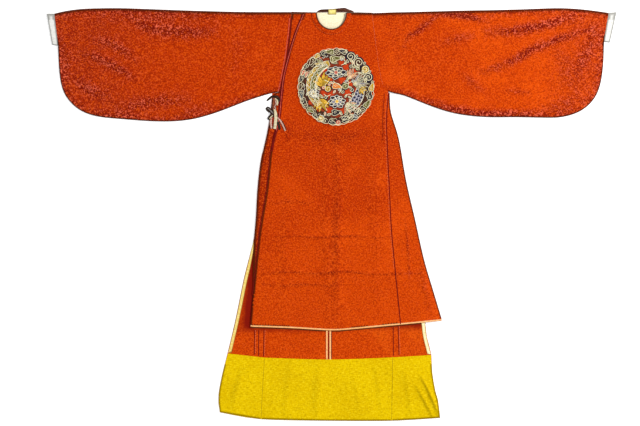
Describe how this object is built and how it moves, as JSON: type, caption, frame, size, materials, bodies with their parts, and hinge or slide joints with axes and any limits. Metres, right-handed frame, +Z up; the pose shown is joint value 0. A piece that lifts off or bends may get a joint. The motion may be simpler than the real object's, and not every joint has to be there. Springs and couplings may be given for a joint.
{
  "type": "round-collar robe",
  "caption": "Unlined round-collar robe of silk damask laid flat, with lute-shaped sleeves, a crossed front, a longer back with a wide hem band and an embroidered roundel on the chest",
  "frame": {"origin": "on the floor under the middle of the robe's bounding box", "axes": "+X across the robe to the viewer's right, +Y from the hem to the shoulders, +Z up from the surface it lies on"},
  "size_m": [2.165, 1.57, 0.0078],
  "materials": {
    "silk": "silk damask, soft sheen",
    "silk_inside": "inside of the silk damask",
    "yellow_silk": "plain silk with slubs",
    "cream_silk": "plain silk",
    "white_silk": "thin white silk",
    "selvedge": "pale selvedge",
    "dark_silk": "dark brown silk ribbon",
    "rose_silk": "faded rose silk ribbon",
    "embroidery": "dense silk and couched gold embroidery"
  },
  "bodies": {
    "root": {"back_left": "silk_inside", "back_right": "silk_inside", "seam_allowance_left": "selvedge", "seam_allowance_right": "selvedge", "hem_band_left": "yellow_silk", "hem_band_centre": "yellow_silk", "hem_band_right": "yellow_silk", "side_facing_left": "yellow_silk", "side_facing_right": "yellow_silk", "neck_lining": "cream_silk", "front_inner": "silk", "front_outer": "silk", "front_gore": "silk", "front_hem_edge": "selvedge", "sleeve_left": "silk", "sleeve_right": "silk", "cuff_left": "white_silk", "cuff_right": "white_silk", "collar_band": "silk", "collar_back": "dark_silk", "collar_tab": "yellow_silk", "roundel": "embroidery", "tie_knot_left": "dark_silk", "tie_knot_right": "dark_silk", "tie_loop_pale": "rose_silk", "tie_end_upper": "dark_silk", "tie_end_lower": "dark_silk", "ribbon_broad": "cream_silk", "ribbon_rose_left": "rose_silk", "ribbon_dark": "dark_silk", "ribbon_rose_right": "rose_silk"}
  },
  "joints": []
}
